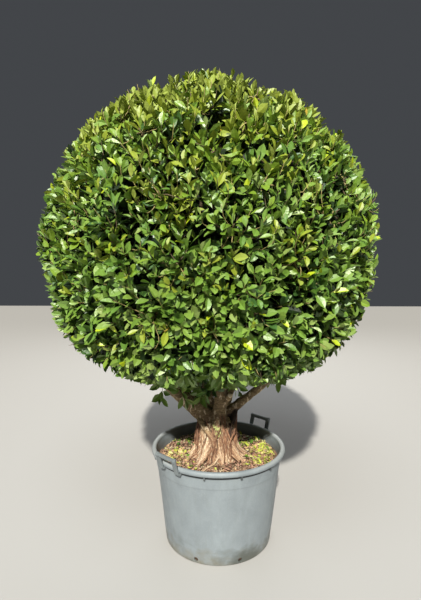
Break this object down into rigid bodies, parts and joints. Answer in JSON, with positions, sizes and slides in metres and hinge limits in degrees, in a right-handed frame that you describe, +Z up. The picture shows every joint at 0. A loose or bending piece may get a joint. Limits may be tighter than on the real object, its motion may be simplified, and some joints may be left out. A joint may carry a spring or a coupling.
{
  "type": "standard ficus tree in a planter",
  "caption": "Standard ficus clipped to a ball, on a short trunk of fused roots, in a large round nursery pot with lifting handles.",
  "frame": {"origin": "centre of the pot's flat underside, at ground level", "axes": "+Z up along the pot's axis; -Y towards the side that the picture shows; +X to that side's right"},
  "size_m": [1.7195, 1.7064, 2.4198],
  "materials": {
    "pot_plastic": "weathered matt",
    "handle_plastic": "matt",
    "potting_soil": "loose and rough",
    "bark": "rough bark",
    "foliage": "glossy leaves"
  },
  "bodies": {
    "root": {"pot": "pot_plastic", "handle_front_left": "handle_plastic", "handle_back_right": "handle_plastic", "soil": "potting_soil", "trunk": "bark", "bough_left": "bark", "bough_front": "bark", "bough_right": "bark", "bough_top": "bark", "bough_back_left": "bark", "bough_back_right": "bark", "crown": "foliage"}
  },
  "joints": []
}
